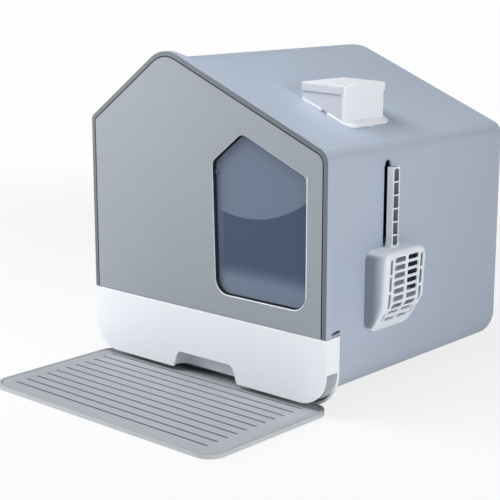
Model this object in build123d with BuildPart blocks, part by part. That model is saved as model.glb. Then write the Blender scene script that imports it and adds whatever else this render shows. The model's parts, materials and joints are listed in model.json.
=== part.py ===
from build123d import *
import os
from math import atan2, cos, pi, sin, tan

# House-shaped litter box with a pull-out tray. Millimetres, +Z up, the front faces -Y.
# The origin is on the floor, under the middle of the house.

# House outline, seen from the front: an off-centre gable on straight walls.
half_width = 242.0
house_depth = 458.0
left_eave = 397.6
right_eave = 383.2
peak_x = -78.6
peak_z = 516.0
lip_peak_radius = 55.0
roof_peak_radius = 90.0
left_eave_radius = 10.0
right_eave_radius = 24.0

# Body shell: one moulded tube with a flared lip round its front.
wall = 3.0
lip_height = 4.5
lip_length = 8.0
flare_length = 22.0
shell_underside = 19.5
shell_base_radius = 50.0
seat = 0.3

# Front frame: the dark edge round the front panel.
frame_face = 7.0
frame_thickness = 4.0
frame_lap = 1.0
flange_reach = 22.0
flange_thickness = 2.5
skirt_thickness = 2.0
skirt_depth = 17.5

# Front panel with the entrance.
panel_gap = 1.0
panel_thickness = 2.8
window_side = 38.0
window_width = 180.7
window_left_lean = 6.0
window_base = 151.4
window_left_eave = 351.2
window_right_eave = 345.7
window_peak_run = 122.3
window_peak_z = 397.6
window_base_radius = 24.0
window_eave_radius = 12.0
window_peak_radius = 18.0
window_chamfer = 1.2
return_depth = 16.0
return_wall = 2.5
peg_radius = 2.2
peg_inset = 16.0
peg_side_low = 180.0
peg_side_high = 330.0
peg_roof_right = 40.0
peg_roof_left = -170.0
peg_base_x = 110.0
clip_radius = 4.8
clip_thickness = 1.5

# Entrance flap, hung on two stub pins.
flap_gap = 1.5
flap_thickness = 2.5
flap_set_back = 7.0
flap_axis_z = 335.0
pin_radius = 2.0
pin_clearance = 0.05
pin_length = 5.5
knuckle_radius = 3.2
knuckle_length = 6.4
boss_radius = 5.0
boss_length = 4.0

# Drawer front: a hollow white cap, open underneath.
drawer_top = 117.0
drawer_base = 15.5
drawer_overhang = 1.5
drawer_base_radius = 48.0
drawer_wall = 3.0
drawer_cap_depth = 30.0
drawer_side_base = 64.5
drawer_reveal = 1.0
drawer_gap = 0.5
drawer_edge_radius = 1.5
notch_x = 4.5
notch_width = 135.0
notch_slope = 10.0
notch_height = 27.2
notch_radius = 11.0

# Catch slits over the drawer front's rear corners.
catch_set_back = 27.0
catch_rise = 4.5
catch_length = 25.0
catch_height = 4.0

# Finger pocket behind the notch.
pocket_width = 140.0
pocket_depth = 20.0
pocket_height = 46.0
pocket_wall = 2.5
pocket_radius = 17.0
pocket_lift = 2.0

# Litter tray.
tray_side_gap = 20.0
tray_rear_gap = 39.0
tray_base = 25.0
tray_top = 112.0
tray_base_radius = 42.0
tray_wall = 3.0
tray_flange = 7.0
tray_screw_x = 150.0
tray_screw_z = 96.0
tray_screw_drop = 30.0
screw_boss = 8.0
screw_tip_gap = 1.0

# Runners that carry the tray's flange.
runner_start_gap = 6.0
runner_rear_gap = 42.5
runner_thickness = 3.0
runner_web = 16.0
runner_reach = 10.5

# Sloped guard above the tray.
guard_top = 150.0
guard_base = 114.5
guard_overlap_x = 17.0
guard_overlap_y = 9.5
guard_wall = 2.5
guard_band = 5.0

# Rim and sill under the drawer front.
rim_base = 2.0
rim_radius = 58.0
rim_width = 4.0
rim_depth = 4.0
sill_thickness = 3.0
sill_inset = 2.0

# Plinth and feet under the shell.
plinth_half_width = 165.0
plinth_rear_gap = 40.5
plinth_base = 4.0
plinth_wall = 4.0
plinth_floor = 3.0
plinth_set_back = 4.0
plinth_columns = 3
plinth_rows = 2
foot_radius = 16.0
foot_inset = 26.0

# Rear panel.
rear_thickness = 3.0
screw_radius = 1.8
screw_head_radius = 4.0
screw_head_height = 2.2
screw_length = 14.0
screw_clearance = 0.2
rear_boss_radius = 5.0
rear_boss_length = 20.0
roof_boss_right = 70.0
roof_boss_left = -160.0
wall_boss_low = 100.0
wall_boss_high = 340.0
floor_boss_x = 120.0

# Step mat in front of the drawer.
mat_side_gap = 8.0
mat_reach = 227.5
mat_tuck = 28.5
mat_height = 8.6
mat_radius = 28.0
mat_pad_height = 0.8
mat_pad_radius = 12.0
mat_pad_inset = 45.0
mat_rim = 6.0
mat_seam = 1.0
mat_edge_radius = 1.2
mat_recess = 3.2
mat_insert_thickness = 2.9
groove_count = 11
groove_pitch = 19.7
groove_width = 4.0
groove_depth = 1.3
groove_inset = 31.0
groove_first = 21.0
tongue_x = 110.0
tongue_width = 40.0
tongue_thickness = 2.0
tongue_overlap = 3.0
tongue_root = 4.0

# Deodoriser on the right roof slope.
deodoriser_side = 103.0
deodoriser_set_back = 170.0
flange_width = 104.5
flange_length = 105.0
flange_height = 4.0
flange_radius = 15.0
flange_notch_width = 12.0
flange_notch_depth = 5.0
flange_tab_length = 12.0
flange_tab_reach = 2.0
box_width = 80.5
box_length = 102.5
box_side = 107.0
box_set_back = 171.0
box_wall = 2.5
box_radius = 6.5
lid_rise = 41.2
lid_fall = 1.6
lid_skirt = 12.0
lid_wall = 1.7
lid_plate = 2.5
lid_edge_radius = 1.5
lid_hole_radius = 1.2
lid_hole_pair_x = 4.2
lid_hole_pair_y = -21.7
lid_hole_pair_pitch = 4.0
lid_hole_single_x = 33.0
lid_hole_single_y = -40.0
carbon_margin = 5.5
carbon_thickness = 13.0
vent_slot_count = 7
vent_slot_pitch = 9.0
vent_slot_width = 5.0
vent_slot_length = 60.0

# Scoop on the right wall, and the slot and pocket that hold it.
scoop_set_back = 147.0
basket_width = 101.5
basket_top = 231.0
basket_tip = 107.0
basket_bend = 151.5
basket_depth = 39.0
basket_lean = 4.0
basket_tip_depth = 8.0
basket_wall = 2.2
basket_top_radius = 16.0
basket_tip_radius = 18.0
basket_bend_radius = 14.0
basket_edge_radius = 7.0
handle_length = 118.5
handle_width = 16.4
handle_depth = 10.5
handle_stand_off = 5.5
handle_wall = 2.2
handle_web = 2.5
handle_bar = 2.0
handle_bar_count = 5
handle_bar_pitch = 19.7
handle_first_bar = 22.0
handle_foot_height = 9.0
handle_foot_spread = 3.5
handle_corner = 4.8
hook_width = 7.0
hook_shift = 3.7
hook_height = 9.7
hook_thickness = 3.7
hook_drop = 10.0
hook_root = 1.0
slot_start = 1.0
slot_width = 17.0
slot_length = 118.0
slot_cap_width = 14.0
slot_cap_rise = 8.5
slot_corner = 1.5
holder_depth = 16.5
holder_wall = 2.0
holder_margin = 3.5
holder_drop = 18.0
face_columns = 2
face_rows = 7
face_slot_length = 26.0
face_slot_height = 7.6
face_slot_corner = 1.8
face_slot_pitch_y = 32.2
face_slot_pitch_z = 11.66
face_first_row = 12.8
side_slot_rows = 3
side_slot_width = 6.0
side_slot_length = 22.5
side_slot_pitch = 25.5
side_slot_first = 21.6
side_slot_inset = 13.0
slope_rows = 2
slope_slot_height = 7.0
slope_slot_pitch = 13.8
slope_first_row = 16.6
slope_side_length = 17.0
slope_side_width = 4.5
slope_side_inset = 15.0

# Worked-out places.
front_y = -house_depth / 2
rear_y = house_depth / 2
left_pitch = atan2(peak_z - left_eave, peak_x + half_width)
right_pitch = atan2(peak_z - right_eave, half_width - peak_x)
shell_front = front_y + frame_thickness
flare_end = shell_front + lip_length + flare_length
shell_rear = rear_y - rear_thickness
shell_half = half_width - lip_height
bore_inset = lip_height + wall
bore_half = half_width - bore_inset
drawer_opening_top = drawer_top + drawer_gap
rim_front = front_y + drawer_cap_depth + drawer_gap
sill_front = rim_front + rim_depth
sill_rear = sill_front + sill_thickness
panel_base = drawer_top + drawer_reveal
cap_half = half_width + drawer_overhang
tray_front = front_y + drawer_cap_depth
flange_front = front_y + panel_thickness
flange_rear = front_y + frame_thickness + flange_thickness
skirt_rear = flange_rear + skirt_depth
scoop_back = shell_half + seat
scoop_y = front_y + scoop_set_back
handle_top = basket_top + handle_length
slot_base = basket_top + slot_start
slot_top = slot_base + slot_length
slot_cap_top = slot_top + slot_cap_rise
window_right = half_width - window_side
window_left = window_right - window_width
window_peak_x = window_right - window_peak_run
tray_half_width = half_width - tray_side_gap
tray_length = house_depth - drawer_cap_depth - tray_rear_gap
runner_start = sill_rear + runner_start_gap
runner_length = rear_y - runner_rear_gap - runner_start
guard_opening_half = tray_half_width - guard_overlap_x
guard_opening_length = tray_length - 2 * guard_overlap_y
plinth_front = sill_rear + plinth_set_back
plinth_length = rear_y - plinth_rear_gap - plinth_front
mat_half_width = half_width - mat_side_gap
deodoriser_x = half_width - deodoriser_side
deodoriser_y = front_y + deodoriser_set_back
box_x = half_width - box_side
box_y = front_y + box_set_back


def facing(y):
    """Plane at y that looks out of the front: local x is X, local y is Z."""
    return Plane(origin=(0, y, 0), x_dir=(1, 0, 0), z_dir=(0, -1, 0))


def side_plane(x):
    """Plane at x that looks out of the right side: local x is Y, local y is Z."""
    return Plane(origin=(x, 0, 0), x_dir=(0, 1, 0), z_dir=(1, 0, 0))


def left_roof(x, inset=0.0):
    """Height of the left slope at x, moved inward by the inset."""
    return left_eave + (x + half_width) * tan(left_pitch) - inset / cos(left_pitch)


def right_roof(x, inset=0.0):
    """Height of the right slope at x, moved inward by the inset."""
    return right_eave + (half_width - x) * tan(right_pitch) - inset / cos(right_pitch)


lid_z = right_roof(box_x, lip_height) + lid_rise


def ridge_x(inset):
    """Where the two slopes meet."""
    return (right_roof(0, inset) - left_roof(0, inset)) / (tan(left_pitch) + tan(right_pitch))


def rounded_face(corners, radii):
    """A closed face through the corners, each with its own rounding."""
    with BuildSketch(mode=Mode.PRIVATE) as face:
        with BuildLine():
            FilletPolyline(*corners, radius=radii, close=True)
        make_face()
    return face.sketch


def house_face(inset, base, base_radius, peak_radius):
    """Front view of the house, moved inward by the inset, from the base upward."""
    half = half_width - inset
    peak = ridge_x(inset)
    corners = [(-half, base), (half, base), (half, right_roof(half, inset))]
    corners += [(peak, right_roof(peak, inset)), (-half, left_roof(-half, inset))]
    right_radius = max(right_eave_radius - inset, wall)
    left_radius = max(left_eave_radius - inset, wall)
    return rounded_face(corners, [base_radius, base_radius, right_radius, peak_radius, left_radius])


def cradle_face(half, base, radius, top):
    """A square-topped section with two rounded lower corners."""
    corners = [(-half, top), (-half, base), (half, base), (half, top)]
    return rounded_face(corners, [0, radius, radius, 0])


def window_face(inset):
    """The entrance outline, moved inward by the inset."""
    run_left = window_peak_x - window_left
    run_right = window_right - window_peak_x
    slope_left = atan2(window_peak_z - window_left_eave, run_left)
    slope_right = atan2(window_peak_z - window_right_eave, run_right)
    right = window_right - inset
    left = window_left + inset
    base = window_base + inset
    lean = window_left_lean
    right_z = window_right_eave + inset * tan(slope_right) - inset / cos(slope_right)
    left_z = window_left_eave + inset * tan(slope_left) - inset / cos(slope_left)
    peak_drop = inset / cos((slope_left + slope_right) / 2)
    corners = [(left + lean, base), (right, base), (right, right_z)]
    corners += [(window_peak_x, window_peak_z - peak_drop), (left, left_z)]
    low = window_base_radius - inset
    eave = window_eave_radius - inset
    return rounded_face(corners, [low, low, eave, window_peak_radius - inset, eave])


def roof_plane(x, y, lift):
    """Plane on the right slope of the shell, lifted off it: local x runs down the slope."""
    height = right_roof(x, lip_height)
    normal = Vector(sin(right_pitch), 0, cos(right_pitch))
    origin = Vector(x, y, height) + normal * lift
    return Plane(origin=origin, x_dir=(cos(right_pitch), 0, -sin(right_pitch)), z_dir=normal)


def lid_plane(drop):
    """Plane of the deodoriser lid's top, which falls a little to the right."""
    fall = lid_fall * pi / 180
    origin = (box_x, box_y, lid_z - drop)
    return Plane(origin=origin, x_dir=(cos(fall), 0, -sin(fall)), z_dir=(sin(fall), 0, cos(fall)))


def save(part, name):
    """Label a finished piece and write it."""
    part.label = name
    export_step(part, f"parts/{name}.step")


os.makedirs("parts", exist_ok=True)

lip_face = house_face(0, shell_underside - lip_height, shell_base_radius + lip_height, lip_peak_radius)
shell_face = house_face(lip_height, shell_underside, shell_base_radius, roof_peak_radius)
bore_radius = shell_base_radius - wall
bore_face = house_face(bore_inset, shell_underside + wall, bore_radius, roof_peak_radius - wall)

# Screw places on the rear panel: beside the walls, under the roof and over the floor.
boss_offset = rear_boss_radius - seat
boss_half = bore_half - boss_offset
boss_floor = shell_underside + wall + boss_offset
rear_places = [(side * boss_half, height) for side in (-1, 1) for height in (wall_boss_low, wall_boss_high)]
rear_places += [(side * floor_boss_x, boss_floor) for side in (-1, 1)]
rear_places.append((roof_boss_right, right_roof(roof_boss_right, bore_inset + boss_offset)))
rear_places.append((roof_boss_left, left_roof(roof_boss_left, bore_inset + boss_offset)))

# Body shell.
with BuildPart() as body_shell:
    with BuildSketch(facing(shell_front)):
        add(lip_face)
    extrude(amount=-lip_length)
    with BuildSketch(facing(shell_front + lip_length)):
        add(lip_face)
    with BuildSketch(facing(flare_end)):
        add(shell_face)
    loft()
    with BuildSketch(facing(flare_end)):
        add(shell_face)
    extrude(amount=flare_end - shell_rear)
    with BuildSketch(facing(shell_front)):
        add(bore_face)
    extrude(amount=shell_front - shell_rear, mode=Mode.SUBTRACT)
    # The drawer front takes the place of the lower front.
    with BuildSketch(facing(shell_front)):
        with Locations((0, drawer_opening_top / 2)):
            Rectangle(2 * half_width + lip_height, drawer_opening_top)
    extrude(amount=shell_front - sill_front - seat, mode=Mode.SUBTRACT)
    # Bosses for the rear screws.
    with BuildSketch(facing(shell_rear)):
        with Locations(*rear_places):
            Circle(rear_boss_radius)
    extrude(amount=rear_boss_length)
    with BuildSketch(facing(shell_rear)):
        with Locations(*rear_places):
            Circle(screw_radius + screw_clearance / 2)
    extrude(amount=screw_length, mode=Mode.SUBTRACT)
    # Catch slits over the drawer front's rear corners.
    with BuildSketch(side_plane(-half_width - lip_height)):
        with Locations((front_y + catch_set_back, drawer_opening_top + catch_rise)):
            SlotOverall(catch_length, catch_height)
    extrude(amount=2 * half_width + 2 * lip_height, mode=Mode.SUBTRACT)
    # Slot that the scoop hangs in.
    with BuildSketch(side_plane(bore_half - lip_height)):
        with Locations((scoop_y, (slot_base + slot_top) / 2)):
            RectangleRounded(slot_width, slot_top - slot_base, slot_corner)
        with Locations((scoop_y, slot_cap_top - slot_cap_width)):
            SlotOverall(2 * slot_cap_width, slot_cap_width, rotation=90)
    extrude(amount=3 * lip_height + wall, mode=Mode.SUBTRACT)
    # Vent slots under the deodoriser.
    with BuildSketch(roof_plane(box_x, box_y, lip_height)):
        with GridLocations(vent_slot_pitch, 0, vent_slot_count, 1):
            SlotOverall(vent_slot_length, vent_slot_width, rotation=90)
    extrude(amount=-3 * lip_height, mode=Mode.SUBTRACT)
save(body_shell.part, "body_shell")

# Rear panel and its screws.
with BuildPart() as rear_panel:
    with BuildSketch(facing(shell_rear)):
        add(shell_face)
        with Locations(*rear_places):
            Circle(screw_radius + screw_clearance, mode=Mode.SUBTRACT)
    extrude(amount=-rear_thickness)
save(rear_panel.part, "rear_panel")

with BuildPart() as rear_screws:
    with BuildSketch(facing(rear_y)):
        with Locations(*rear_places):
            Circle(screw_radius)
    extrude(amount=screw_length)
    with BuildSketch(facing(rear_y)):
        with Locations(*rear_places):
            Circle(screw_head_radius)
    extrude(amount=-screw_head_height)
save(rear_screws.part, "rear_screws")

# Front frame: face ring, neck, flange and skirt.
flange_inner = house_face(flange_reach, panel_base + flange_reach - frame_face, wall, lip_peak_radius)
plug_face = house_face(bore_inset + seat, panel_base, wall, roof_peak_radius - wall)
peg_heights = (peg_side_low, peg_side_high)
peg_places = [(side * (half_width - peg_inset), height) for side in (-1, 1) for height in peg_heights]
peg_places.append((peg_roof_right, right_roof(peg_roof_right, peg_inset)))
peg_places.append((peg_roof_left, left_roof(peg_roof_left, peg_inset)))
peg_places += [(side * peg_base_x, panel_base + (flange_reach - frame_face) / 2) for side in (-1, 1)]

with BuildPart() as front_frame:
    with BuildSketch(facing(front_y)):
        add(house_face(0, 0, wall, lip_peak_radius))
        add(house_face(frame_face, -wall, wall, lip_peak_radius - frame_face), mode=Mode.SUBTRACT)
        with Locations((0, panel_base / 2)):
            Rectangle(3 * half_width, panel_base, mode=Mode.SUBTRACT)
    extrude(amount=-frame_thickness)
    with BuildSketch(facing(flange_front)):
        add(house_face(frame_face - frame_lap, panel_base, wall, lip_peak_radius - frame_face))
        add(flange_inner, mode=Mode.SUBTRACT)
    extrude(amount=flange_front - shell_front)
    with BuildSketch(facing(shell_front)):
        add(plug_face)
        add(flange_inner, mode=Mode.SUBTRACT)
    extrude(amount=-flange_thickness)
    with BuildSketch(facing(flange_rear)):
        add(plug_face)
        add(offset(plug_face, -skirt_thickness, mode=Mode.PRIVATE), mode=Mode.SUBTRACT)
    extrude(amount=-skirt_depth)
    with BuildSketch(facing(flange_front)):
        with Locations(*peg_places):
            Circle(peg_radius + screw_clearance)
    extrude(amount=flange_front - flange_rear, mode=Mode.SUBTRACT)
save(front_frame.part, "front_frame")

# Front panel with the entrance and its return wall.
panel_face = house_face(frame_face + panel_gap, panel_base, wall / 2, lip_peak_radius - frame_face)
flap_y = front_y + flap_set_back + flap_thickness / 2
axis_rise = (flap_axis_z - window_base) / (window_left_eave - window_base)
window_left_at_axis = window_left + window_left_lean * (1 - axis_rise)

with BuildPart() as front_panel:
    with BuildSketch(facing(front_y)):
        add(panel_face)
        add(window_face(0), mode=Mode.SUBTRACT)
    extrude(amount=-panel_thickness)
    with BuildSketch(facing(front_y + return_wall)):
        add(window_face(-return_wall))
        add(window_face(0), mode=Mode.SUBTRACT)
    extrude(amount=return_wall - return_depth)
    with BuildSketch(facing(flange_front)):
        with Locations(*peg_places):
            Circle(peg_radius)
    extrude(amount=flange_front - flange_rear - 2 * clip_thickness)
    # Bearing bosses beside the opening.
    with BuildSketch(side_plane(window_right + return_wall / 2)):
        with Locations((flap_y, flap_axis_z)):
            Circle(boss_radius)
    extrude(amount=return_wall / 2 + boss_length)
    with BuildSketch(side_plane(window_left_at_axis - return_wall / 2)):
        with Locations((flap_y, flap_axis_z)):
            Circle(boss_radius)
    extrude(amount=-return_wall / 2 - boss_length)
    with BuildSketch(side_plane(window_left - boss_length - return_wall)):
        with Locations((flap_y, flap_axis_z)):
            Circle(pin_radius + pin_clearance)
    bore_run = window_right - window_left + 2 * (boss_length + return_wall)
    extrude(amount=bore_run, mode=Mode.SUBTRACT)
    front_edges = front_panel.faces().sort_by(Axis.Y)[0].inner_wires()[0].edges()
    chamfer(front_edges, window_chamfer)
save(front_panel.part, "front_panel")

with BuildPart() as panel_clips:
    with BuildSketch(facing(flange_rear)):
        with Locations(*peg_places):
            Circle(clip_radius)
            Circle(peg_radius + pin_clearance, mode=Mode.SUBTRACT)
    extrude(amount=-clip_thickness)
save(panel_clips.part, "panel_clips")

# Entrance flap with its knuckles and stub pins.
pane_right = window_right - flap_gap
pane_left = window_left_at_axis + flap_gap
with BuildPart() as entry_flap:
    with BuildSketch(facing(front_y + flap_set_back)):
        add(window_face(flap_gap))
    extrude(amount=-flap_thickness)
    with BuildSketch(side_plane(pane_right)):
        with Locations((flap_y, flap_axis_z)):
            Circle(knuckle_radius)
    extrude(amount=-knuckle_length)
    with BuildSketch(side_plane(pane_left)):
        with Locations((flap_y, flap_axis_z)):
            Circle(knuckle_radius)
    extrude(amount=knuckle_length)
    with BuildSketch(side_plane(pane_right)):
        with Locations((flap_y, flap_axis_z)):
            Circle(pin_radius)
    extrude(amount=flap_gap + pin_length)
    with BuildSketch(side_plane(pane_left)):
        with Locations((flap_y, flap_axis_z)):
            Circle(pin_radius)
    extrude(amount=-flap_gap - pin_length)
save(entry_flap.part, "entry_flap")

# Rim and sill that close the house under the drawer.
with BuildPart() as base_rim:
    with BuildSketch(facing(rim_front)):
        add(cradle_face(half_width, rim_base, rim_radius, drawer_opening_top))
        inner_top = drawer_opening_top + rim_width
        inner = cradle_face(half_width - rim_width, rim_base + rim_width, rim_radius - rim_width, inner_top)
        add(inner, mode=Mode.SUBTRACT)
    extrude(amount=-rim_depth)
save(base_rim.part, "base_rim")

tongue_z = rim_base + rim_width + seat
slot_centre = tongue_z + tongue_thickness / 2
with BuildPart() as base_sill:
    with BuildSketch(facing(sill_front)):
        sill_half = half_width - sill_inset
        add(cradle_face(sill_half, rim_base + sill_inset, rim_radius - sill_inset, drawer_opening_top))
        inner_top = drawer_opening_top + rim_width
        inner = cradle_face(shell_half + seat, shell_underside - seat, shell_base_radius + seat, inner_top)
        add(inner, mode=Mode.SUBTRACT)
        with Locations((-tongue_x, slot_centre), (tongue_x, slot_centre)):
            Rectangle(tongue_width + 2 * seat, tongue_thickness + 2 * seat, mode=Mode.SUBTRACT)
    extrude(amount=-sill_thickness)
save(base_sill.part, "base_sill")

# Plinth under the shell, with its rubber feet.
plinth_y = plinth_front + plinth_length / 2
plinth_height = shell_underside - plinth_base
pocket_x = (2 * plinth_half_width - (plinth_columns + 1) * plinth_wall) / plinth_columns
pocket_y = (plinth_length - (plinth_rows + 1) * plinth_wall) / plinth_rows
with BuildPart() as base_plinth:
    with BuildSketch(Plane.XY.offset(plinth_base)):
        with Locations((0, plinth_y)):
            RectangleRounded(2 * plinth_half_width, plinth_length, foot_radius)
    extrude(amount=plinth_height)
    with BuildSketch(Plane.XY.offset(plinth_base + plinth_floor)):
        with Locations((0, plinth_y)):
            with GridLocations(pocket_x + plinth_wall, pocket_y + plinth_wall, plinth_columns, plinth_rows):
                RectangleRounded(pocket_x, pocket_y, foot_radius - plinth_wall)
    extrude(amount=plinth_height - plinth_floor, mode=Mode.SUBTRACT)
save(base_plinth.part, "base_plinth")

foot_span_x = 2 * (plinth_half_width - foot_inset)
foot_span_y = plinth_length - 2 * foot_inset
with BuildPart() as rubber_feet:
    with BuildSketch(Plane.XY):
        Circle(foot_radius)
        with Locations((0, plinth_y)):
            with GridLocations(foot_span_x, foot_span_y, 2, 2):
                Circle(foot_radius)
    extrude(amount=plinth_base)
save(rubber_feet.part, "rubber_feet")

# Drawer front.
with BuildPart() as drawer_front:
    with BuildSketch(facing(front_y)):
        add(cradle_face(cap_half, drawer_base, drawer_base_radius, drawer_top))
    extrude(amount=-drawer_cap_depth)
    hollow = cap_half - drawer_wall
    with BuildSketch(facing(front_y + drawer_wall)):
        with Locations((0, (drawer_top - drawer_wall + drawer_side_base) / 2)):
            Rectangle(2 * hollow, drawer_top - drawer_wall - drawer_side_base)
        with Locations((0, drawer_side_base / 2)):
            Rectangle(2 * cap_half + drawer_wall, drawer_side_base)
    extrude(amount=2 * drawer_wall - drawer_cap_depth, mode=Mode.SUBTRACT)
    notch_top = drawer_base + notch_height
    half_notch = notch_width / 2
    notch_left = notch_x - half_notch
    notch_right = notch_x + half_notch
    notch_foot = drawer_base - notch_radius
    notch_corners = [(notch_left, notch_foot), (notch_right, notch_foot), (notch_right, drawer_base)]
    notch_corners += [(notch_right - notch_slope, notch_top), (notch_left + notch_slope, notch_top)]
    notch_corners.append((notch_left, drawer_base))
    with BuildSketch(facing(front_y)):
        add(rounded_face(notch_corners, [0, 0, 0, notch_radius, notch_radius, 0]))
    extrude(amount=-drawer_wall, mode=Mode.SUBTRACT)
    top_edges = drawer_front.faces().sort_by(Axis.Z)[-1].edges().filter_by(Axis.X).sort_by(Axis.Y)[0]
    fillet(top_edges, drawer_edge_radius)
    # Clearance holes for the tray screws.
    tray_screw_places = [(side * tray_screw_x, tray_screw_z) for side in (-1, 1)]
    tray_screw_places += [(side * tray_screw_x / 2, tray_screw_z - tray_screw_drop) for side in (-1, 1)]
    with BuildSketch(facing(tray_front - drawer_wall)):
        with Locations(*tray_screw_places):
            Circle(screw_radius + screw_clearance)
    extrude(amount=-drawer_wall, mode=Mode.SUBTRACT)
save(drawer_front.part, "drawer_front")

# Finger pocket behind the notch.
pocket_front = front_y + drawer_wall + seat
pocket_base = drawer_base + pocket_lift
pocket_y_middle = pocket_front + pocket_depth / 2 - pocket_radius / 2
inner_width = pocket_width - 2 * pocket_wall
with BuildPart() as grip_pocket:
    with BuildSketch(Plane.XY.offset(pocket_base)):
        with Locations((notch_x, pocket_y_middle)):
            RectangleRounded(pocket_width, pocket_depth + pocket_radius, pocket_radius)
        with Locations((notch_x, pocket_y_middle - pocket_wall)):
            inner_radius = pocket_radius - pocket_wall
            RectangleRounded(inner_width, pocket_depth + pocket_radius, inner_radius, mode=Mode.SUBTRACT)
        with Locations((notch_x, pocket_front - pocket_radius)):
            Rectangle(2 * pocket_width, 2 * pocket_radius, mode=Mode.SUBTRACT)
    extrude(amount=pocket_height)
    with BuildSketch(Plane.XY.offset(pocket_base + pocket_height)):
        with Locations((notch_x, pocket_y_middle)):
            RectangleRounded(pocket_width, pocket_depth + pocket_radius, pocket_radius)
        with Locations((notch_x, pocket_front - pocket_radius)):
            Rectangle(2 * pocket_width, 2 * pocket_radius, mode=Mode.SUBTRACT)
    extrude(amount=pocket_wall)
save(grip_pocket.part, "grip_pocket")

# Litter tray with its carrying flange.
with BuildPart() as litter_tray:
    with BuildSketch(facing(tray_front)):
        add(cradle_face(tray_half_width, tray_base, tray_base_radius, tray_top))
    extrude(amount=-tray_length)
    flange_z = tray_top - tray_wall
    with BuildSketch(Plane.XY.offset(flange_z)):
        with Locations((0, tray_front + (tray_length + tray_flange) / 2)):
            Rectangle(2 * (tray_half_width + tray_flange), tray_length + tray_flange)
    extrude(amount=tray_wall)
    with BuildSketch(facing(tray_front + tray_wall)):
        inner_half = tray_half_width - tray_wall
        add(cradle_face(inner_half, tray_base + tray_wall, tray_base_radius - tray_wall, tray_top))
    extrude(amount=2 * tray_wall - tray_length, mode=Mode.SUBTRACT)
    with BuildSketch(facing(tray_front + tray_wall)):
        with Locations(*tray_screw_places):
            Circle(rear_boss_radius)
    extrude(amount=-screw_boss)
    with BuildSketch(facing(tray_front)):
        with Locations(*tray_screw_places):
            Circle(screw_radius + screw_clearance / 2)
    extrude(amount=-screw_boss, mode=Mode.SUBTRACT)
save(litter_tray.part, "litter_tray")

with BuildPart() as tray_screws:
    with BuildSketch(facing(tray_front - drawer_wall)):
        with Locations(*tray_screw_places):
            Circle(screw_radius)
    extrude(amount=screw_tip_gap - drawer_wall - screw_boss)
    with BuildSketch(facing(tray_front - drawer_wall)):
        with Locations(*tray_screw_places):
            Circle(screw_head_radius)
    extrude(amount=screw_head_height)
save(tray_screws.part, "tray_screws")

# Runners on the side walls.
runner_top = tray_top - tray_wall - seat
for side, name in ((-1, "tray_runner_left"), (1, "tray_runner_right")):
    outer = side * (bore_half - seat)
    with BuildPart() as tray_runner:
        with BuildSketch(facing(runner_start)):
            with Locations((outer - side * runner_reach / 2, runner_top - runner_thickness / 2)):
                Rectangle(runner_reach, runner_thickness)
            with Locations((outer - side * runner_thickness / 2, runner_top - runner_web / 2)):
                Rectangle(runner_thickness, runner_web)
        extrude(amount=-runner_length)
    save(tray_runner.part, name)

# Sloped guard that keeps litter in the tray.
guard_front = skirt_rear + seat
guard_rear = shell_rear - seat
guard_half = bore_half - seat
guard_length = guard_rear - guard_front
guard_y = (guard_rear + guard_front) / 2
opening_y = tray_front + tray_length / 2
with BuildPart() as litter_guard:
    with BuildSketch(Plane.XY.offset(guard_top)):
        with Locations((0, guard_y)):
            Rectangle(2 * guard_half, guard_length)
    with BuildSketch(Plane.XY.offset(guard_base)):
        with Locations((0, opening_y)):
            Rectangle(2 * guard_opening_half, guard_opening_length)
    loft(ruled=True)
    with BuildSketch(Plane.XY.offset(guard_top)):
        with Locations((0, guard_y)):
            Rectangle(2 * guard_half, guard_length)
    extrude(amount=guard_band)
    with BuildSketch(Plane.XY.offset(guard_top)):
        with Locations((0, guard_y)):
            Rectangle(2 * (guard_half - guard_wall), guard_length - 2 * guard_wall)
    with BuildSketch(Plane.XY.offset(guard_base)):
        with Locations((0, opening_y)):
            Rectangle(2 * (guard_opening_half - guard_wall), guard_opening_length - 2 * guard_wall)
    loft(ruled=True, mode=Mode.SUBTRACT)
    with BuildSketch(Plane.XY.offset(guard_top)):
        with Locations((0, guard_y)):
            Rectangle(2 * (guard_half - guard_wall), guard_length - 2 * guard_wall)
    extrude(amount=guard_band, mode=Mode.SUBTRACT)
save(litter_guard.part, "litter_guard")

# Step mat: tray, grooved insert and pads.
mat_front = front_y - mat_reach
mat_rear = front_y + mat_tuck
mat_length = mat_rear - mat_front
mat_y = (mat_front + mat_rear) / 2
recess_z = mat_height - mat_recess
with BuildPart() as mat_tray:
    with BuildSketch(Plane.XY.offset(mat_pad_height)):
        with Locations((0, mat_y)):
            RectangleRounded(2 * mat_half_width, mat_length, mat_radius)
    extrude(amount=mat_height - mat_pad_height)
    fillet(mat_tray.faces().sort_by(Axis.Z)[-1].edges(), mat_edge_radius)
    with BuildSketch(Plane.XY.offset(recess_z)):
        with Locations((0, mat_y)):
            recess_width = 2 * (mat_half_width - mat_rim)
            RectangleRounded(recess_width, mat_length - 2 * mat_rim, mat_radius - mat_rim)
    extrude(amount=mat_recess, mode=Mode.SUBTRACT)
    tongue_reach = sill_rear + tongue_overlap - mat_rear
    with BuildSketch(Plane.XY.offset(tongue_z)):
        with Locations((-tongue_x, mat_rear), (tongue_x, mat_rear)):
            with Locations((0, (tongue_reach - tongue_root) / 2)):
                Rectangle(tongue_width, tongue_reach + tongue_root)
    extrude(amount=tongue_thickness)
save(mat_tray.part, "mat_tray")

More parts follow.
